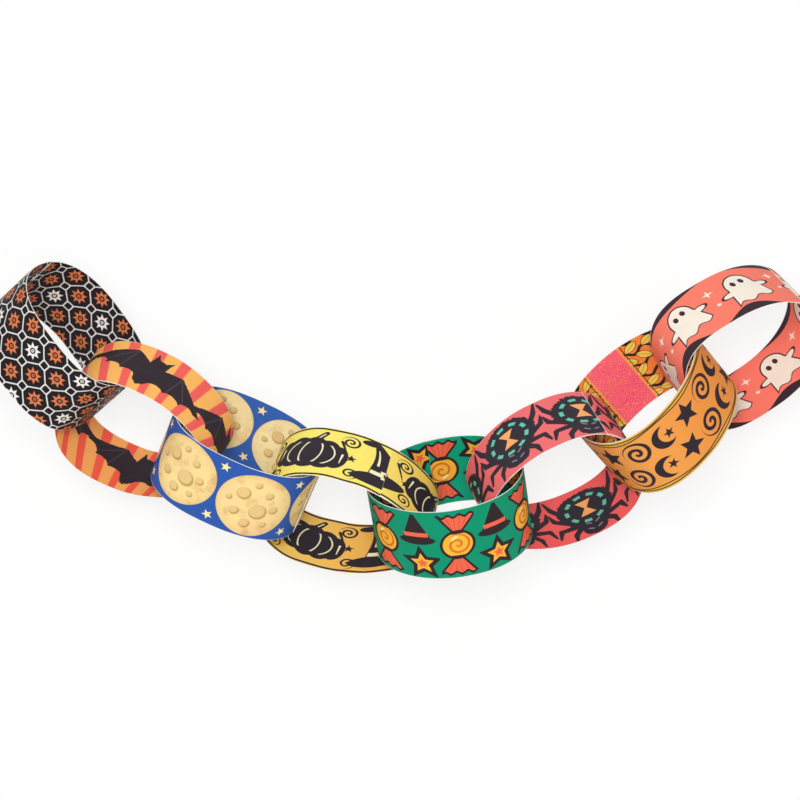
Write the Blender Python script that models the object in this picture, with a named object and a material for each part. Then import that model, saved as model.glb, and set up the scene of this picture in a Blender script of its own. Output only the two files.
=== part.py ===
"""Paper chain garland: eight card strips, each glued into a loop and linked through the next."""
import bisect
import math

import bmesh
import bpy
from mathutils import Matrix, Vector

for old in list(bpy.data.objects):
    bpy.data.objects.remove(old, do_unlink=True)

# Sizes in metres.
STRIP_WIDTH = 0.0381
STRIP_LENGTH = 0.2286
LAP_LENGTH = 0.0106
CARD_THICKNESS = 0.0003

# A loop's curve is cut into straight pieces about this long.
CURVE_STEP = 0.0029

# Each link: name, colour, heading and turn about the chain in degrees, length of the oval over
# its width, how much fuller its right end is, roundness of the left and right end (2 is an
# ellipse and more is squarer), and where on the oval the lap lies in degrees.
LINKS = (
    ("link_1_star_lattice", (0.030, 0.026, 0.030), -53, 120, 1.12, -0.04, 2.3, 2.9, 200),
    ("link_2_ray_bats", (0.930, 0.300, 0.060), -24, 38, 1.34, -0.12, 2.4, 1.9, 180),
    ("link_3_blue_moons", (0.024, 0.094, 0.440), -25, 123, 1.26, -0.02, 2.55, 2.25, 0),
    ("link_4_yellow_hats", (1.000, 0.640, 0.090), -14, 40, 1.48, -0.14, 2.5, 1.9, 62),
    ("link_5_green_sweets", (0.010, 0.290, 0.145), 10, 125, 1.18, 0.04, 1.95, 2.15, 270),
    ("link_6_coral_spiders", (0.910, 0.115, 0.110), 24, 39, 1.32, 0.10, 2.0, 2.4, 35),
    ("link_7_orange_banner", (0.960, 0.350, 0.050), 45, 124, 1.12, -0.14, 2.3, 2.0, 180),
    ("link_8_coral_ghosts", (0.900, 0.160, 0.110), 32, 41, 1.22, -0.10, 2.7, 2.3, 20),
)

# From each link to the next: bearing of its middle in degrees, and how far the two are let back
# from where their strips all but touch.
JOINTS = (
    (-43.0, 0.0),
    (-23.0, 0.0005),
    (-20.0, 0.0010),
    (-1.5, 0.0001),
    (17.5, 0.0008),
    (33.5, 0.0),
    (36.5, 0.0),
)

# Free space left between two neighbours pulled as far apart as they go.
LINK_GAP = 0.0004

HALF_WIDTH = STRIP_WIDTH / 2
LOOP_LENGTH = STRIP_LENGTH - LAP_LENGTH


class Loop:
    """The middle line of one strip's card, closed, seen along the strip's width."""

    def __init__(self, aspect, fuller, left, right, lap_degrees):
        points = []
        for i in range(720):
            a = math.radians(i / 2)
            c = math.cos(a)
            s = math.sin(a)
            power = 2 / (right if c > 0 else left)
            x = aspect * math.copysign(abs(c) ** power, c)
            y = (1 + fuller * c) * math.copysign(abs(s) ** power, s)
            points.append(Vector((x, y)))
        points.append(points[0].copy())
        around = sum((points[i + 1] - points[i]).length for i in range(720))
        self.size = LOOP_LENGTH / around
        self.shape = (aspect * self.size, fuller, left, right)
        self.points = [p * self.size for p in points]
        self.along = [0.0]
        for i in range(720):
            self.along.append(self.along[-1] + (self.points[i + 1] - self.points[i]).length)
        self.start = self.along[lap_degrees * 2] - LAP_LENGTH / 2

    def place(self, distance, out):
        """A point this far on from the strip's inner end, and this far out from the line."""
        d = (self.start + distance) % self.along[-1]
        i = min(max(bisect.bisect_right(self.along, d) - 1, 0), 719)
        a = self.points[i]
        b = self.points[i + 1]
        t = (d - self.along[i]) / (self.along[i + 1] - self.along[i])
        step = (self.points[(i + 2) % 720] - self.points[i - 1]).normalized()
        return a.lerp(b, t) + Vector((step.y, -step.x)) * out

    def outline(self, first, side):
        """One face of the card, from a strip end round to the step where the ends lap."""
        count = round(LOOP_LENGTH / CURVE_STEP)
        row = []
        for i in range(count + 1):
            d = first + LOOP_LENGTH * i / count
            row.append(self.place(d, side * CARD_THICKNESS / 2 + CARD_THICKNESS * d / LOOP_LENGTH))
        return row

    def depth(self, x, y):
        """How far inside the middle line a place lies."""
        length, fuller, left, right = self.shape
        power = right if x > 0 else left
        high = self.size * (1 + fuller * min(max(x / length, -1.0), 1.0))
        share = (abs(x / length) ** power + abs(y / high) ** power) ** (1 / power)
        return math.hypot(x, y) * (1 / max(share, 0.001) - 1)


class Link:
    """A loop turned as it lies in the chain, with its middle at a place of its own."""

    def __init__(self, loop, heading, turn):
        self.loop = loop
        leaning = Matrix.Rotation(math.radians(turn), 3, "X")
        self.pose = Matrix.Rotation(math.radians(heading), 3, "Z") @ leaning
        low = min((self.pose @ Vector((p.x, p.y, 0))).z for p in loop.points)
        self.middle = Vector((0, 0, HALF_WIDTH * abs(self.pose[2][2]) - low))

    def room(self, other, side):
        """The least space between this link's right or left half and the other link's strip."""
        back = other.pose.transposed()
        least = 1.0
        for p in self.loop.points[::4]:
            if side * p.x <= 0:
                continue
            for part in range(7):
                z = HALF_WIDTH * (part - 3) / 3
                q = back @ (self.middle + self.pose @ Vector((p.x, p.y, z)) - other.middle)
                past = max(abs(q.z) - HALF_WIDTH, 0.0)
                least = min(least, math.hypot(past, other.loop.depth(q.x, q.y)))
        return least


def put_next(link, before, bearing, slack):
    """Pulls a link away from the one before it until their strips all but touch, then lets back."""
    away = Vector((math.cos(math.radians(bearing)), math.sin(math.radians(bearing)), 0))
    apart = 0.35 * (link.loop.shape[0] + before.loop.shape[0])
    step = 0.0015
    while step > 0.00001:
        link.middle.xy = (before.middle + away * (apart + step)).xy
        if min(before.room(link, 1), link.room(before, -1)) > CARD_THICKNESS + LINK_GAP:
            apart += step
        else:
            step /= 2
    link.middle.xy = (before.middle + away * (apart - slack)).xy


def material(name, colour):
    made = bpy.data.materials.new(name)
    made.use_nodes = True
    shader = made.node_tree.nodes["Principled BSDF"]
    shader.inputs["Base Color"].default_value = (*colour, 1.0)
    shader.inputs["Roughness"].default_value = 0.6
    shader.inputs["Metallic"].default_value = 0.0
    return made


def strip(name, colour, loop):
    """The glued strip as one solid: its card outline, as deep as the strip is wide."""
    curve = bpy.data.curves.new(name + "_outline", "CURVE")
    curve.dimensions = "2D"
    curve.fill_mode = "BOTH"
    curve.extrude = HALF_WIDTH
    for row in (loop.outline(LAP_LENGTH, 1), loop.outline(0.0, -1)):
        spline = curve.splines.new("POLY")
        spline.points.add(len(row) - 1)
        for point, p in zip(spline.points, row):
            point.co = (p.x, p.y, 0.0, 1.0)
        spline.use_cyclic_u = True
    drawn = bpy.data.objects.new(name + "_outline", curve)
    garland.objects.link(drawn)
    bpy.context.view_layer.update()
    mesh = bpy.data.meshes.new_from_object(drawn.evaluated_get(bpy.context.evaluated_depsgraph_get()))
    bpy.data.objects.remove(drawn, do_unlink=True)
    mesh.name = name
    body = bmesh.new()
    body.from_mesh(mesh)
    bmesh.ops.remove_doubles(body, verts=body.verts, dist=0.00001)
    bmesh.ops.recalc_face_normals(body, faces=body.faces)
    body.to_mesh(mesh)
    body.free()
    mesh.materials.clear()
    mesh.materials.append(material(name + "_card", colour))
    made = bpy.data.objects.new(name, mesh)
    garland.objects.link(made)
    return made


garland = bpy.data.collections.new("paper_chain_garland")
bpy.context.scene.collection.children.link(garland)

# The first link is put down at the origin and each next one at its bearing from the last. Then
# all of them are shifted so that the origin is under the middle of the garland.
chain = []
for i, (name, colour, heading, turn, aspect, fuller, left, right, lap) in enumerate(LINKS):
    link = Link(Loop(aspect, fuller, left, right, lap), heading, turn)
    if chain:
        put_next(link, chain[-1][0], *JOINTS[i - 1])
    body = strip(name, colour, link.loop)
    lowest = min((link.pose @ v.co).z for v in body.data.vertices)
    link.middle.z = -lowest
    body.matrix_world = Matrix.Translation(link.middle) @ link.pose.to_4x4()
    chain.append((link, body))

corners = [body.matrix_world @ v.co for link, body in chain for v in body.data.vertices]
middle_x = (min(p.x for p in corners) + max(p.x for p in corners)) / 2
middle_y = (min(p.y for p in corners) + max(p.y for p in corners)) / 2
for link, body in chain:
    body.matrix_world = Matrix.Translation((-middle_x, -middle_y, 0)) @ body.matrix_world
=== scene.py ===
"""Paper chain garland with its printed card, lying on a pale floor."""

import bisect
import math

import bpy
from mathutils import Matrix, Vector


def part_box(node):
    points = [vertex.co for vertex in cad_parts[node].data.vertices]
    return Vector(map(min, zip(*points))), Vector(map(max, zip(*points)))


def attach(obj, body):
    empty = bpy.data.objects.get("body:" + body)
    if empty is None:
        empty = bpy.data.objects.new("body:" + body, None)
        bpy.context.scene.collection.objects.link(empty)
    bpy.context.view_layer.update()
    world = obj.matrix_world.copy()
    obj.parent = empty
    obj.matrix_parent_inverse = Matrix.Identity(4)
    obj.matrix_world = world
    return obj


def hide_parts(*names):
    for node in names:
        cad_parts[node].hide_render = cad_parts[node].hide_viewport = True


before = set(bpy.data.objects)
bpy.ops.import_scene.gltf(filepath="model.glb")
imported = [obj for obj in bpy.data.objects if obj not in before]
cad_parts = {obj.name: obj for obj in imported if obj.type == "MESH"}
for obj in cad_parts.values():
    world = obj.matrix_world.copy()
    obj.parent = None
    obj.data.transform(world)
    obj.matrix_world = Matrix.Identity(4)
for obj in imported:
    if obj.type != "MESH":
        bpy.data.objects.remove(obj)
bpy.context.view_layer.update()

# Sizes in metres, as in the construction.
STRIP_WIDTH = 0.0381
STRIP_LENGTH = 0.2286
LAP_LENGTH = 0.0106
CARD_THICKNESS = 0.0003
LOOP_LENGTH = STRIP_LENGTH - LAP_LENGTH
HALF_WIDTH = STRIP_WIDTH / 2

# Each link: its node, its heading and its turn about the chain in degrees, the oval's length over
# its width, the fullness of its right end, the roundness of its left and its right end, and where
# on the oval the lap lies, in degrees.
LINKS = (
    ("link_1_star_lattice", -53, 120, 1.12, -0.04, 2.3, 2.9, 200),
    ("link_2_ray_bats", -24, 38, 1.34, -0.12, 2.4, 1.9, 180),
    ("link_3_blue_moons", -25, 123, 1.26, -0.02, 2.55, 2.25, 0),
    ("link_4_yellow_hats", -14, 40, 1.48, -0.14, 2.5, 1.9, 62),
    ("link_5_green_sweets", 10, 125, 1.18, 0.04, 1.95, 2.15, 270),
    ("link_6_coral_spiders", 24, 39, 1.32, 0.10, 2.0, 2.4, 35),
    ("link_7_orange_banner", 45, 124, 1.12, -0.14, 2.3, 2.0, 180),
    ("link_8_coral_ghosts", 32, 41, 1.22, -0.10, 2.7, 2.3, 20),
)

# How finely a strip is cut up, along it and across it.
STEPS_ALONG = 168
STEPS_ACROSS = 12

# How many points the oval has, and over how many of them each way its direction is taken.
POINTS_A_DEGREE = 2
POINTS = 360 * POINTS_A_DEGREE
NEAR = 5

# A strip winds outwards by this many thicknesses in one round, so its end lies on its start.
WINDING = 1.1


# Card loops.

class Loop:
    """The middle line of one strip's card, closed, seen along the strip's width."""

    def __init__(self, aspect, fuller, left, right, lap_degrees):
        points = []
        for i in range(POINTS):
            a = math.radians(i / POINTS_A_DEGREE)
            c = math.cos(a)
            s = math.sin(a)
            power = 2 / (right if c > 0 else left)
            x = aspect * math.copysign(abs(c) ** power, c)
            y = (1 + fuller * c) * math.copysign(abs(s) ** power, s)
            points.append(Vector((x, y)))
        points.append(points[0].copy())
        around = sum((points[i + 1] - points[i]).length for i in range(POINTS))
        self.points = [p * LOOP_LENGTH / around for p in points]
        self.along = [0.0]
        for i in range(POINTS):
            self.along.append(self.along[-1] + (self.points[i + 1] - self.points[i]).length)
        self.start = self.along[lap_degrees * POINTS_A_DEGREE] - LAP_LENGTH / 2

    def place(self, distance, out):
        """A point this far on from the strip's inner end, and this far out from the line."""
        d = (self.start + distance) % self.along[-1]
        i = min(max(bisect.bisect_right(self.along, d) - 1, 0), POINTS - 1)
        a = self.points[i]
        b = self.points[i + 1]
        t = (d - self.along[i]) / (self.along[i + 1] - self.along[i])
        before = self.points[(i - NEAR) % POINTS]
        after = self.points[(i + 1 + NEAR) % POINTS]
        step = (after - before).normalized()
        return a.lerp(b, t) + Vector((step.y, -step.x)) * out

    def mark(self, degrees):
        """Where on the strip's own map this angle of the oval lies, in centimetres."""
        d = self.along[degrees * POINTS_A_DEGREE]
        return (d if d > self.start else d + LOOP_LENGTH) * 100


def card(name, loop, pose):
    """One strip as a mesh: outer face, inner face and paper edges, with the strip's own map."""
    verts = []
    faces = []
    slots = []
    where = []

    def sheet(rows, slot, turned):
        """Faces between rows of points, all in one material."""
        first = len(verts)
        wide = len(rows[0])
        for row in rows:
            for point, uv in row:
                verts.append(pose @ point)
                where.append(uv)
        for i in range(len(rows) - 1):
            for j in range(wide - 1):
                a = first + i * wide + j
                quad = (a, a + 1, a + wide + 1, a + wide)
                faces.append(tuple(reversed(quad)) if turned else quad)
                slots.append(slot)

    def line(side):
        """The points of the outer face, or of the inner one where side is minus one."""
        rows = []
        for i in range(STEPS_ALONG + 1):
            d = STRIP_LENGTH * i / STEPS_ALONG
            out = side * CARD_THICKNESS / 2 + CARD_THICKNESS * WINDING * d / LOOP_LENGTH
            p = loop.place(d, out)
            row = []
            for j in range(STEPS_ACROSS + 1):
                z = -HALF_WIDTH + STRIP_WIDTH * j / STEPS_ACROSS
                row.append((Vector((p.x, p.y, z)), ((loop.start + d) * 100, -z * 100)))
            rows.append(row)
        return rows

    outer = line(1)
    inner = line(-1)
    sheet(outer, 0, True)
    sheet(inner, 1, False)
    for j, turned in ((0, False), (STEPS_ACROSS, True)):
        sheet([[a[j], b[j]] for a, b in zip(outer, inner)], 2, not turned)
    for i, turned in ((0, True), (STEPS_ALONG, False)):
        sheet([list(outer[i]), list(inner[i])], 2, not turned)

    mesh = bpy.data.meshes.new(name)
    mesh.from_pydata([tuple(v) for v in verts], [], faces)
    for polygon, slot in zip(mesh.polygons, slots):
        polygon.material_index = slot
        polygon.use_smooth = True
    layer = mesh.uv_layers.new(name="strip")
    for corner in mesh.loops:
        layer.data[corner.index].uv = where[corner.vertex_index]
    mesh.update()
    made = bpy.data.objects.new(name, mesh)
    bpy.context.scene.collection.objects.link(made)
    return made


# Material maths. Lengths on the card are in centimetres. A shape is the distance outside it.

class Amount:
    """A number that varies over a surface. Its arithmetic adds nodes to that surface's palette."""

    def __init__(self, palette, socket):
        self.palette = palette
        self.socket = socket

    def math(self, operation, *values, clamp=False):
        node = self.palette.tree.nodes.new("ShaderNodeMath")
        node.operation = operation
        node.use_clamp = clamp
        for slot, value in zip(node.inputs, values):
            self.palette.feed(slot, value)
        return Amount(self.palette, node.outputs[0])

    def __add__(self, other):
        return self.math("ADD", self, other)

    def __radd__(self, other):
        return self.math("ADD", other, self)

    def __sub__(self, other):
        return self.math("SUBTRACT", self, other)

    def __rsub__(self, other):
        return self.math("SUBTRACT", other, self)

    def __mul__(self, other):
        return self.math("MULTIPLY", self, other)

    def __rmul__(self, other):
        return self.math("MULTIPLY", other, self)

    def __truediv__(self, other):
        return self.math("DIVIDE", self, other)

    def __rtruediv__(self, other):
        return self.math("DIVIDE", other, self)

    def __mod__(self, other):
        return self.math("FLOORED_MODULO", self, other)

    def __pow__(self, other):
        return self.math("POWER", self, other)

    def __neg__(self):
        return self.math("MULTIPLY", self, -1.0)

    def __abs__(self):
        return self.math("ABSOLUTE", self)

    def floor(self):
        return self.math("FLOOR", self)

    def sine(self):
        return self.math("SINE", self)

    def cosine(self):
        return self.math("COSINE", self)

    def least(self, other):
        return self.math("MINIMUM", self, other)

    def most(self, other):
        return self.math("MAXIMUM", self, other)

    def below(self, limit):
        return self.math("LESS_THAN", self, limit)

    def held(self):
        """The same number, kept between nought and one."""
        return self.math("ADD", self, 0.0, clamp=True)

    def cover(self, edge=0.022):
        """From a distance outside a shape: one inside it, nought outside, with a soft edge."""
        return self.math("MULTIPLY_ADD", self, -1 / edge, 0.5, clamp=True)


def span(x, y):
    """How far a place is from the middle."""
    return (x * x + y * y) ** 0.5


def bearing(x, y):
    """The direction of a place from the middle, in radians, anticlockwise from the right."""
    return y.math("ARCTAN2", y, x)


def disc(x, y, radius):
    """A round shape."""
    return span(x, y) - radius


def oval(x, y, wide, high):
    """A long round shape, given half its width and half its height."""
    return (span(x / wide, y / high) - 1.0) * min(wide, high)


def moved(x, y, right, up, degrees=0.0, scale=1.0):
    """The place on the card as a motif sees it, when it is put down there, turned and scaled."""
    x = x - right
    y = y - up
    if degrees:
        c = math.cos(math.radians(degrees))
        s = math.sin(math.radians(degrees))
        x, y = x * c + y * s, y * c - x * s
    if scale != 1.0:
        x = x / scale
        y = y / scale
    return x, y


def block(x, y, corners):
    """A shape with straight sides that bulges everywhere, its corners named anticlockwise."""
    found = None
    for a, b in zip(corners, corners[1:] + corners[:1]):
        dx = b[0] - a[0]
        dy = b[1] - a[1]
        long = math.hypot(dx, dy)
        d = x * (dy / long) - y * (dx / long) + (a[1] * dx - a[0] * dy) / long
        found = d if found is None else found.most(d)
    return found


def stroke(x, y, a, b, thick, thin=None):
    """A round-ended line from a to b, as wide as thick, tapering to thin."""
    dx = b[0] - a[0]
    dy = b[1] - a[1]
    square = dx * dx + dy * dy
    share = (x * (dx / square) + (y * (dy / square) - (a[0] * dx + a[1] * dy) / square)).held()
    gap = span(x - a[0] - share * dx, y - a[1] - share * dy)
    if thin is None:
        return gap - thick / 2
    return gap - thick / 2 + share * ((thick - thin) / 2)


def star(x, y, points, tip, notch, turn=0.0):
    """A star with this many points, given its radius at the tips and at the notches."""
    half = math.pi / points
    angle = abs((bearing(x, y) + (half - math.radians(turn))) % (2 * half) - half)
    far = span(x, y)
    nx = notch * math.sin(half)
    ny = tip - notch * math.cos(half)
    long = math.hypot(nx, ny)
    return (far * angle.cosine() - tip) * (nx / long) + far * angle.sine() * (ny / long)


def spiral(x, y, radius, pitch, thick, hand=1.0):
    """A curled line of this outer radius."""
    far = span(x, y)
    turn = bearing(x, y) * (hand * pitch / (2 * math.pi))
    line = abs((far - turn) % pitch - pitch / 2) - thick / 2
    return line.most(far - radius)


class Palette:
    """The nodes of one surface, and the ways to add to them."""

    def __init__(self, tree):
        self.tree = tree

    def feed(self, slot, value):
        if isinstance(value, Amount):
            value = value.socket
        if isinstance(value, bpy.types.NodeSocket):
            self.tree.links.new(value, slot)
        else:
            slot.default_value = value

    def node(self, kind, settings, **values):
        node = self.tree.nodes.new(kind)
        for key, value in settings.items():
            setattr(node, key, value)
        for key, value in values.items():
            self.feed(node.inputs[key.replace("_", " ")], value)
        return node

    def seen(self):
        """One for what the camera sees, straight on, mirrored or through glass, and else nought."""
        path = self.node("ShaderNodeLightPath", {}).outputs
        straight = Amount(self, path["Is Camera Ray"])
        return straight.most(path["Is Glossy Ray"]).most(path["Is Transmission Ray"])

    def shared(self, share, first, second):
        """Two shaders in one, with this share of the second."""
        mixer = self.node("ShaderNodeMixShader", {}, Fac=share)
        self.feed(mixer.inputs[1], first)
        self.feed(mixer.inputs[2], second)
        return mixer.outputs["Shader"]


# The print stops this far short of the strip's edges, where the paper is bare.
MARGIN = 0.014
BARE_PAPER = "f3efe8"

# Where ink is most worn, its colour is multiplied by this.
WORN_INK = (0.90, 0.90, 0.90, 1.0)

WHITE = (1.0, 1.0, 1.0, 1.0)


class Ink(Palette):
    """One face of card: a material whose colour is laid on in layers."""

    def __init__(self, name, ground):
        self.made = bpy.data.materials.new(name)
        self.made.use_nodes = True
        super().__init__(self.made.node_tree)
        self.shader = self.tree.nodes["Principled BSDF"]
        where = self.node("ShaderNodeUVMap", {"uv_map": "strip"})
        split = self.node("ShaderNodeSeparateXYZ", {}, Vector=where.outputs["UV"])
        self.u = Amount(self, split.outputs["X"])
        self.v = Amount(self, split.outputs["Y"])
        self.place = where.outputs["UV"]
        self.colour = (*srgb(ground), 1.0)

    def noise(self, scale, detail=2.0, rough=0.5):
        """Cloudy variation between nought and one, this many times a centimetre."""
        made = self.node("ShaderNodeTexNoise", {"noise_dimensions": "2D"}, Vector=self.place,
                         Scale=scale, Detail=detail, Roughness=rough)
        return Amount(self, made.outputs[0])

    def mix(self, amount, under, over, blend="MIX"):
        """One colour over another, where amount is one."""
        mixer = self.node("ShaderNodeMix", {"data_type": "RGBA", "blend_type": blend})
        self.feed(mixer.inputs[0], amount)
        self.feed(mixer.inputs[6], under)
        self.feed(mixer.inputs[7], over)
        return mixer.outputs[2]

    def lay(self, amount, colour):
        """Prints a colour over what is there, where amount is one."""
        if isinstance(colour, str):
            colour = (*srgb(colour), 1.0)
        self.colour = self.mix(amount, self.colour, colour)

    def finish(self):
        """Bare paper margins, uneven ink, paper grain and a slight sheen."""
        self.lay((HALF_WIDTH * 100 - MARGIN - abs(self.v)).cover(0.02), BARE_PAPER)
        soft = self.noise(2.2, 3.0)
        fine = self.noise(38.0, 2.0)
        worn = fine * 0.5 + soft * 0.5
        self.colour = self.mix(worn, self.colour, WORN_INK, "MULTIPLY")
        self.feed(self.shader.inputs["Base Color"], self.colour)
        self.feed(self.shader.inputs["Roughness"], 0.5 + soft * 0.16)
        self.feed(self.shader.inputs["Specular IOR Level"], 0.14)
        grain = self.node("ShaderNodeBump", {}, Height=fine * 0.6 + soft, Strength=0.12,
                          Distance=0.0004)
        self.feed(self.shader.inputs["Normal"], grain.outputs["Normal"])
        return self.made


def srgb(code):
    """A linear colour from its six-figure web code."""
    parts = [int(code[i:i + 2], 16) / 255 for i in (0, 2, 4)]
    return tuple(p / 12.92 if p <= 0.04045 else ((p + 0.055) / 1.055) ** 2.4 for p in parts)


# Prints. Each is given its ink, how far right along the strip and how far up across it a place is
# from the middle of the side that the camera sees, and whether the face is the inner one.

# Once round a loop, in centimetres. Most prints repeat in a whole part of it.
ROUND = LOOP_LENGTH * 100


def nearest(right):
    """The same place on the loop, within half a turn of the middle."""
    return (right + ROUND / 2) % ROUND - ROUND / 2


def star_lattice(ink, x, y, inside):
    """Octagons and small squares in white line on black, with a star in each octagon."""
    pitch = 1.18
    square_reach = 0.27
    wall_reach = 0.24
    dark = "17130f"
    p = (x + y) * math.sqrt(0.5) + 0.2
    q = (y - x) * math.sqrt(0.5) + 0.1
    px = p % pitch - pitch / 2
    qx = q % pitch - pitch / 2
    corner = pitch - abs(px) - abs(qx)
    side = pitch / 2 - abs(px).most(abs(qx))
    square = abs(corner - square_reach) * 0.707
    walls = side.most(wall_reach - corner)
    ink.lay((square.least(walls) - 0.03).cover(0.03), "e9e4df")
    which = ((p / pitch).floor() + (q / pitch).floor() * 2.0) % 5.0
    far = span(px, qx)
    tint = ink.mix(which.below(0.5), (*srgb("d8794d"), 1.0), (*srgb("f2ece6"), 1.0))
    ink.lay(star(px, qx, 8, 0.42, 0.23).cover(0.03), tint)
    ink.lay((abs(far - 0.115) - 0.035).cover(), dark)
    ink.lay((far - 0.035).cover(), dark)


def bat(ink, x, y):
    """A black bat with spread wings, scalloped along the lower edge, and two pointed ears."""
    wing = abs(x)
    shape = block(wing, y, [(0.0, -0.55), (1.1, -0.62), (2.45, 0.05), (0.95, 0.9), (0.0, 0.35)])
    for out, down, radius in ((0.62, 0.85, 0.42), (1.3, 0.72, 0.42), (1.98, 0.42, 0.38)):
        shape = shape.most(-disc(wing - out, y + down, radius))
    shape = shape.least(oval(x, y + 0.1, 0.36, 0.88))
    shape = shape.least(disc(x, y - 0.62, 0.33))
    shape = shape.least(block(wing, y, [(0.04, 0.8), (0.32, 0.68), (0.32, 1.22)]))
    ragged = (ink.noise(6.0, 2.0) - 0.5) * 0.07
    ink.lay((shape + ragged).cover(), "2a2129")
    for inner, outer in (((0.95, 0.84), (0.98, -0.42)), ((0.95, 0.84), (1.66, -0.2))):
        ink.lay(stroke(wing, y, inner, outer, 0.035).cover() * 0.8, "5a4450")


def ray_bats(ink, x, y, inside):
    """Slanted rays in two colours behind black bats."""
    reach = 8.0 if inside else 10.0
    half = ROUND / 2
    shift = 0.9 if inside else 0.0
    fan = bearing(nearest(x), y + reach)
    rays = (fan * (reach * 5.8)).cosine() * 0.2
    ink.lay((0.06 - rays).cover(0.06), "fa6049" if inside else "f5625a")
    for right, up, turn in ((-0.6, -0.1, -14), (4.9, 0.12, 11)):
        across = (x - right - shift + half / 2) % half - half / 2
        bat(ink, *moved(across, y, 0.0, up, turn, 1.3))


def blue_moons(ink, x, y, inside):
    """Cratered full moons side by side on blue, with small stars in the corners between them."""
    pitch = ROUND / 6
    x = x + 0.2
    cx = x % pitch - pitch / 2
    cy = y - ((x / pitch).floor() % 2.0) * 0.16 + 0.08
    far = span(cx, cy)
    moon = (far - 1.73).cover(0.03)
    # The inner moons are painted lighter, in a paler cream and with their mottling weakened, to
    # offset the shade inside the loop.
    ink.lay(moon, "fff0b4" if inside else "f9dd96")
    mottling_weaker_inside_as_painted_light = 0.6 if inside else 1.0
    rim = ((far - 1.1) / 0.63).held()
    ink.lay(moon * rim * rim * (0.4 * mottling_weaker_inside_as_painted_light), "d9a662")
    flush = ((ink.noise(0.35, 2.0) - 0.42) * 4.0).held()
    ink.lay(moon * flush * (0.45 * mottling_weaker_inside_as_painted_light), "f6c58e")
    cloud = ((ink.noise(0.9, 4.0, 0.65) - 0.52) * 5.0).held()
    ink.lay(moon * cloud * (0.6 * mottling_weaker_inside_as_painted_light), "cf9c62")
    craters = ((-0.62, 0.55, 0.34), (0.55, 0.72, 0.2), (0.28, -0.28, 0.42), (-0.78, -0.52, 0.24),
               (0.95, -0.05, 0.22), (-0.12, -1.05, 0.26), (-0.1, 1.18, 0.18), (-1.2, 0.1, 0.16),
               (0.72, -0.95, 0.17))
    for right, up, radius in craters:
        ink.lay((span(cx - right, cy - up) - radius).cover(0.05) * 0.75, "b07f4a")
        light = span(cx - right + 0.05, cy - up - 0.05)
        ink.lay((light - radius * 0.86).cover(0.07) * 0.75, "f3d28c")
    gap = (x + pitch / 2) % pitch - pitch / 2
    ink.lay(star(gap, abs(y) - 1.42, 5, 0.26, 0.11, 90).cover(), "ffe9a8")


# The two inks of the hats and the pumpkins.
SOOT = "2a222b"
CREAM = "f8f3c8"


def hat(ink, x, y):
    """A black pointed hat with a drooping tip, a pale band and a square buckle."""
    bend = x + (y - 0.2).most(0.0) ** 2.0 * 0.18
    cone = block(bend, y, [(-1.0, -0.75), (1.0, -0.75), (0.14, 1.75), (-0.14, 1.75)])
    shape = cone.least(oval(x, y + 0.82, 1.72, 0.46)).least(oval(x + 0.68, y - 1.6, 0.44, 0.2))
    ink.lay(shape.cover(), SOOT)
    band = (abs(y + 0.36 - x * x * 0.12) - 0.13).most(cone + 0.05)
    ink.lay(band.cover(), CREAM)
    buckle = abs(x).most(abs(y + 0.34)) - 0.27
    ink.lay((abs(buckle + 0.07) - 0.07).cover(), CREAM)
    ink.lay((buckle + 0.14).cover(), SOOT)
    ink.lay(stroke(bend, y, (-0.4, 0.25), (-0.14, 1.25), 0.12, 0.05).cover(), CREAM)


def pumpkin(ink, x, y):
    """A plain black pumpkin with pale ribs and a stalk."""
    wide = abs(x)
    shape = oval(x, y, 0.72, 1.12).least(oval(wide - 0.62, y, 0.72, 1.04))
    shape = shape.least(oval(wide - 1.16, y, 0.5, 0.82))
    shape = shape.least(stroke(x, y, (0.0, 1.0), (0.24, 1.5), 0.34, 0.24))
    ink.lay(shape.cover(), SOOT)
    ribs = abs(oval(x, y, 0.46, 0.9)) - 0.03
    ribs = ribs.least(abs(oval(x, y, 1.06, 0.94)) - 0.03).most(abs(y) - 0.7)
    ink.lay(ribs.cover(), CREAM)
    gleam = stroke(wide, y, (1.36, 0.32), (1.4, -0.3), 0.1, 0.04)
    ink.lay(gleam.cover(), CREAM)
    ink.lay(stroke(x, y, (0.04, 1.12), (0.2, 1.42), 0.06).cover(), CREAM)


def yellow_hats(ink, x, y, inside):
    """Black hats and plain pumpkins, curls and stars on yellow that turns orange."""
    # The inner face's orange is painted a little lighter, to offset the shade inside the loop.
    glow = (x * (2 * math.pi / ROUND) - 0.3).sine() * 0.6 + (0.8 if inside else 0.0)
    ink.lay(glow.held(), "ffb957" if inside else "f8b94a")
    cell = ROUND / 6
    shift = (-0.42 if inside else 0.36) * cell
    first = (x - shift + cell) % (2 * cell) - cell
    second = (x - shift) % (2 * cell) - cell
    hat(ink, *moved(second if inside else first, y, 0.0, -0.06, 9, 1.06))
    pumpkin(ink, *moved(first if inside else second, y, 0.0, -0.08, -10, 1.06))
    cx = (x - shift) % cell - cell / 2
    ink.lay(spiral(cx + 0.1, y - 1.1, 0.46, 0.26, 0.12).cover(), SOOT)
    ink.lay(stroke(cx, y, (-0.5, 1.0), (-0.14, 0.1), 0.16, 0.07).cover(), SOOT)
    ink.lay(spiral(cx - 0.16, y + 1.22, 0.4, 0.25, 0.11, -1.0).cover(), SOOT)
    ink.lay(star(cx - 0.08, y + 0.1, 5, 0.28, 0.12, 90).cover(), SOOT)
    wobble = (x * (24 * math.pi / ROUND)).sine() * 0.02
    ink.lay((abs(abs(y) - 1.79 + wobble) - 0.065).cover(), "2b242b")


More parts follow.
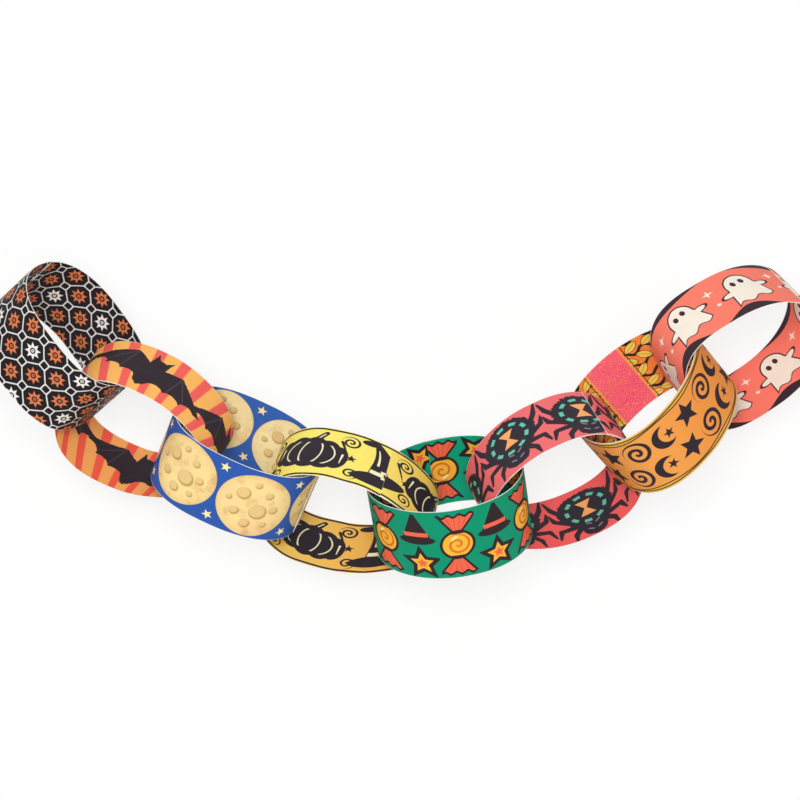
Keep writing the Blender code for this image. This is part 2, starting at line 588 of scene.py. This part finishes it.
def green_sweets(ink, x, y, inside):
    """Wrapped sweets, and hats over stars, in upright columns on green."""
    if inside:
        x = -x
        y = -y
    outline = "2b2024"
    red = "f2684a"
    amber = "fdb837"
    pitch = ROUND / 12
    cell = (x / pitch + 0.5).floor()
    cx = (x + pitch / 2) % pitch - pitch / 2
    odd = cell % 2.0
    even = 1.0 - odd
    size = 1.13
    tilt = (cx + y * (cell % 3.0 - 1.0) * 0.07) / size
    y = y / size
    up = abs(y + 0.03)
    frill = up - 1.36 - (tilt * 14.0).sine() * 0.06
    fan = (abs(tilt) - (up - 0.48) * 0.72).most(0.5 - up).most(frill)
    ink.lay((fan - 0.12).cover() * even, outline)
    ink.lay(fan.cover() * even, red)
    folds = abs((bearing(up - 0.4, tilt) * 3.6) % 1.0 - 0.5) - 0.07
    ink.lay(folds.most(fan + 0.03).cover(0.05) * even * 0.6, "a8382a")
    ball = disc(tilt, y + 0.03, 0.6)
    ink.lay((ball - 0.12).cover() * even, outline)
    ink.lay(ball.cover() * even, amber)
    ink.lay(spiral(tilt, y + 0.03, 0.52, 0.3, 0.1).cover() * even, "d9742c")
    ink.lay(stroke(tilt, y, (-0.2, 0.24), (-0.05, 0.36), 0.1).cover() * even, "ffe9a0")
    knot = (abs(up - 0.62) - 0.09).most(abs(tilt) - 0.26)
    ink.lay(knot.cover() * even, outline)
    cone = block(tilt, y, [(-0.62, 0.3), (0.62, 0.3), (0.1, 1.54), (-0.04, 1.54)])
    ink.lay(cone.least(oval(tilt, y - 0.24, 0.76, 0.22)).cover() * odd, outline)
    ribbon = (abs(y - 0.52) - 0.1).most(abs(tilt) - 0.5)
    ink.lay(ribbon.cover() * odd, red)
    lower = star(tilt, y + 0.92, 5, 0.58, 0.28, 90)
    ink.lay((lower - 0.14).cover() * odd, outline)
    ink.lay((lower + 0.03).cover() * odd, amber)
    ink.lay(star(tilt, y + 0.92, 5, 0.26, 0.12, 90).cover() * odd, red)


def coral_spiders(ink, x, y, inside):
    """Shaggy round spiders seen from above, dark on coral, with bright marks on their backs."""
    pitch = ROUND / 6
    x = x + (0.9 if inside else -0.5)
    size = 1.08
    cx = (x % pitch - pitch / 2) / size
    cy = (y - ((x / pitch).floor() % 2.0 - 0.5) * 0.2) / size
    far = span(cx, cy - 0.3)
    shag = (ink.noise(5.0, 3.0, 0.7) - 0.5) * 0.34
    wide = abs(cx)
    shape = (oval(cx, cy - 0.3, 1.3, 1.22) + shag).least(oval(cx, cy + 1.14, 0.6, 0.46) + shag * 0.5)
    hip = (0.4, -0.7)
    legs = (((1.44, 0.96), (1.62, 1.6)), ((1.52, 0.1), (1.66, 0.62)),
            ((1.44, -0.72), (1.62, -1.26)), ((0.92, -1.24), (1.0, -1.7)))
    for knee, foot in legs:
        shape = shape.least(stroke(wide, cy, hip, knee, 0.34, 0.26))
        shape = shape.least(stroke(wide, cy, knee, foot, 0.26, 0.11))
    ink.lay(shape.cover(0.03), "2f2833")
    dash = abs((bearing(cx, cy - 0.3) * (4.5 / math.pi)) % 1.0 - 0.5) - 0.27
    ring = (abs(far - 0.88) - 0.09).most(dash)
    ink.lay(ring.cover(), "66c8ac")
    mark = (wide - abs(cy - 0.32) * 0.62 - 0.05).most(abs(cy - 0.32) - 0.5)
    ink.lay(mark.cover(), "ffb06a")
    for up in (0.72, 1.12):
        ink.lay(stroke(wide, cy, (0.12, -up - 0.1), (0.3, -up), 0.08).cover(), "8a7f92")


def banner(ink, x, y, inside):
    """Curls and stars outside, and pink bands with leaves inside."""
    if inside:
        leaf_bands(ink, x, y)
    else:
        flourishes(ink, x, y)


def flourishes(ink, x, y):
    """Bold dark curls, stars and crescents in two rows on orange, between wavy borders."""
    ink.lay(((x * (6 * math.pi / ROUND) + 0.4).sine() * 0.25 + 0.3).held(), "ec8c3a")
    dark = "2d222b"
    brown = "4a3020"
    row = y.math("SIGN", y)
    pitch = ROUND / 15
    x = x + row * 0.36
    cell = (x / pitch).floor()
    cx = (x % pitch - pitch / 2) / 1.22
    cy = (abs(y) - 0.76) / 1.26
    kind = (cell + row + 1.0) % 3.0
    first = kind.below(0.5)
    last = 1.0 - kind.below(1.5)
    second = 1.0 - first - last
    curl = spiral(cx, cy, 0.56, 0.31, 0.15)
    ink.lay(curl.cover() * first, dark)
    moon = disc(cx, cy, 0.5).most(-disc(cx - 0.24, cy - 0.06, 0.42))
    ink.lay(moon.cover() * second, dark)
    ink.lay(star(cx - 0.24, cy, 5, 0.24, 0.1, 90).cover() * second, dark)
    ink.lay(star(cx, cy, 5, 0.56, 0.25, 90).cover() * last, dark)
    wave = abs(y) - 1.64 + (x * (12 * math.pi / ROUND)).sine() * 0.05
    ink.lay((-wave).cover() * 0.8, "e8b84a")
    ink.lay((abs(wave) - 0.035).cover(), brown)
    ink.lay((abs(abs(y) - 1.76) - 0.035).cover(), brown)


def leaf_bands(ink, x, y):
    """Pink bands with a maze of fine lines, and between them leaves on dark stems on orange."""
    pitch = ROUND / 4
    along = (x + 0.15 + pitch / 2) % pitch - pitch / 2
    ink.lay((ink.noise(1.6) - 0.5).cover(0.4) * 0.5, "f0682a")
    rough = (ink.noise(3.0) - 0.5) * 0.12
    stem = abs((y + (x * (40 * math.pi / ROUND)).sine() * 0.16) % 0.78 - 0.39)
    ink.lay((stem - 0.1 + rough).cover(), "2a2420")
    rows = ((0.9, 0.0, 1.5, 25), (0.8, 0.3, 0.75, -35), (1.1, 0.5, 0.0, 40), (0.95, 0.2, -0.85, 20),
            (0.7, 0.1, -1.6, -15))
    for wide, side, up, turn in rows:
        lx, ly = moved((x + side) % wide - wide / 2, y, 0.0, up, turn)
        leaf = span(lx, abs(ly) + 0.3) - 0.5
        ink.lay((leaf - 0.035).cover(), "5d4018")
        ink.lay(leaf.cover(), "f8d45e")
        ink.lay((abs(ly) - 0.015).most(leaf).cover() * 0.8, "8a6a2a")
    band = abs(along) - 0.95
    patch = band.cover()
    # The pink is painted a little lighter, to offset the shade inside the loop.
    ink.lay(patch, "fb4f80")
    ink.lay(patch * (ink.noise(0.5) - 0.2), "ff7a84")
    maze = ink.noise(2.6, 0.0)
    lines = abs((maze * 4.5) % 1.0 - 0.5) - 0.15
    ink.lay(lines.cover(0.12) * patch * 0.85, "ff8a5c")
    ink.lay((abs(band - 0.03) - 0.05).cover(), "ffa25a")
    ink.lay((abs(band - 0.15) - 0.025).cover(), "5d4018")


def coral_ghosts(ink, x, y, inside):
    """Pale plain ghosts on coral, with dark hills along both edges."""
    dark = "36272f"
    outline = "3a2730"
    pale = "f7ecdc"
    hills = y + 1.62 - (x * (12 * math.pi / ROUND)).sine() * 0.34
    ink.lay(hills.cover(), dark)
    tops = 1.72 - y + (x * (8 * math.pi / ROUND) + 1.0).sine() * 0.2
    ink.lay(tops.cover(), dark)
    cell = ROUND / 7
    gx, gy = moved((x + 0.3) % cell - cell / 2, y, 0.0, 0.1, 10)
    side = abs(gx)
    skirt = side - 0.62 - (0.3 - gy).most(0.0) * 0.22
    hem = (gx * 7.2).sine() * 0.12 - 1.05 - gy
    body = skirt.most(hem).most(gy - 0.3).least(oval(gx, gy - 0.3, 0.63, 0.85))
    body = body.least(oval(side - 0.78, gy + 0.1, 0.36, 0.17))
    ink.lay((body - 0.07).cover(), outline)
    ink.lay(body.cover(), pale)
    ink.lay(oval(side - 0.22, gy - 0.52, 0.12, 0.2).cover(), outline)
    sx = (x + 0.3 + cell / 2) % cell - cell / 2
    ink.lay(star(sx, y - 0.75, 4, 0.3, 0.09, 90).cover(), pale)
    ink.lay(disc(sx - 0.1, y + 0.35, 0.1).cover(), pale)


# Each link's print, and the ground colour of its outer and its inner face. The two carry some
# painted light: the inner colours are set lighter than the card's own, to offset the shade that
# falls inside the loops.
PRINTS = (
    (star_lattice, "171417", "1c191c"),
    (ray_bats, "ffba60", "ffb062"),
    (blue_moons, "2e58a8", "3662b2"),
    (yellow_hats, "ffec70", "ffdc6c"),
    (green_sweets, "00926b", "00a27b"),
    (coral_spiders, "f27072", "fb6462"),
    (banner, "f0a04c", "ff9440"),
    (coral_ghosts, "fb7f6a", "ff7e6c"),
)

# The print is stretched a little along the strip, so its repeat is longer than the loop and it
# breaks off at the lap.
PRINT_SCALE = 0.96

# The bare edges of the paper, which all the strips share.
edge_ink = Ink("paper_edge", "f4f1ec")
fibre = edge_ink.noise(30.0)
edge_ink.lay(fibre * 0.3, "dcd6cc")
edge_ink.feed(edge_ink.shader.inputs["Base Color"], edge_ink.colour)
edge_ink.feed(edge_ink.shader.inputs["Roughness"], 0.6 + fibre * 0.2)

# Each strip is bent, leaned over, set down in the middle of its solid's place and printed.
for (node, heading, turn, aspect, fuller, left, right, lap), print_of in zip(LINKS, PRINTS):
    draw, outside, inside = print_of
    loop = Loop(aspect, fuller, left, right, lap)
    leaning = Matrix.Rotation(math.radians(turn), 3, "X")
    turned = Matrix.Rotation(math.radians(heading), 3, "Z")
    made = card(node + "_printed", loop, turned @ leaning)
    low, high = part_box(node)
    corners = [v.co for v in made.data.vertices]
    own_low = Vector([min(c[k] for c in corners) for k in range(3)])
    own_high = Vector([max(c[k] for c in corners) for k in range(3)])
    made.location = (Vector(low) + Vector(high)) / 2 - (own_low + own_high) / 2
    outer_ink = Ink(node + "_outer", outside)
    draw(outer_ink, (loop.mark(90) - outer_ink.u) * PRINT_SCALE, outer_ink.v, False)
    inner_ink = Ink(node + "_inner", inside)
    draw(inner_ink, (inner_ink.u - loop.mark(270)) * PRINT_SCALE, inner_ink.v, True)
    for material in (outer_ink.finish(), inner_ink.finish(), edge_ink.made):
        made.data.materials.append(material)
    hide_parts(node)
    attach(made, "root")

# Floor.
FLOOR_SIZE = 6.0
FLOOR_DROP = 0.0002
bpy.ops.mesh.primitive_plane_add(size=FLOOR_SIZE, location=(0.0, 0.0, -FLOOR_DROP))
floor = bpy.context.object
floor.name = "floor"
floor_paint = bpy.data.materials.new("floor_paint")
floor_paint.use_nodes = True
palette = Palette(floor_paint.node_tree)
matt = palette.tree.nodes["Principled BSDF"]
palette.feed(matt.inputs["Base Color"], (*srgb("eeeeee"), 1.0))
palette.feed(matt.inputs["Roughness"], 0.9)
palette.feed(matt.inputs["Specular IOR Level"], 0.1)
glow = palette.node("ShaderNodeEmission", {}, Color=WHITE, Strength=1.0)

# The camera sees this share of the floor as plain white. The rest of it takes the shadow.
PLAIN_SHARE = 0.8
both = palette.shared(palette.seen() * PLAIN_SHARE, matt.outputs["BSDF"], glow.outputs["Emission"])
palette.feed(palette.tree.nodes["Material Output"].inputs["Surface"], both)
floor.data.materials.append(floor_paint)

# Light.
world = bpy.data.worlds.new("studio")
bpy.context.scene.world = world
world.use_nodes = True
palette = Palette(world.node_tree)
palette.tree.nodes.clear()
soft = palette.node("ShaderNodeBackground", {}, Color=WHITE, Strength=0.46)
plain = palette.node("ShaderNodeBackground", {}, Color=WHITE, Strength=1.0)
both = palette.shared(palette.seen(), soft.outputs["Background"], plain.outputs["Background"])
palette.node("ShaderNodeOutputWorld", {}, Surface=both)


def lamp(name, place, aim, size, power):
    """A square soft lamp, turned to face a place."""
    data = bpy.data.lights.new(name, "AREA")
    data.shape = "SQUARE"
    data.size = size
    data.energy = power
    made = bpy.data.objects.new(name, data)
    made.location = place
    made.rotation_euler = (Vector(aim) - Vector(place)).to_track_quat("-Z", "Y").to_euler()
    bpy.context.scene.collection.objects.link(made)


MIDDLE = (0.0, 0.0, 0.02)
lamp("key", (-0.1, 0.12, 1.5), MIDDLE, size=0.7, power=16.5)
lamp("fill", (0.3, -0.8, 1.2), MIDDLE, size=1.0, power=2.2)

# Camera, looking almost straight down.
TARGET = Vector((-0.0011, 0.0099, 0.025))
ELEVATION = math.radians(86.0)
DISTANCE = 1.1
SENSOR = 36.0
PICTURE_SIDE = 800.0
PIXELS_A_METRE = 2060.0
back = Vector((0.0, -math.cos(ELEVATION), math.sin(ELEVATION)))
data = bpy.data.cameras.new("camera")
data.sensor_width = SENSOR
data.lens = PIXELS_A_METRE * DISTANCE * SENSOR / PICTURE_SIDE
data.clip_start = 0.05
data.clip_end = 20.0
camera = bpy.data.objects.new("camera", data)
camera.location = TARGET + back * DISTANCE
camera.rotation_euler = (-back).to_track_quat("-Z", "Y").to_euler()
bpy.context.scene.collection.objects.link(camera)
bpy.context.scene.camera = camera

bpy.context.scene.view_settings.view_transform = "Standard"

bpy.context.view_layer.update()
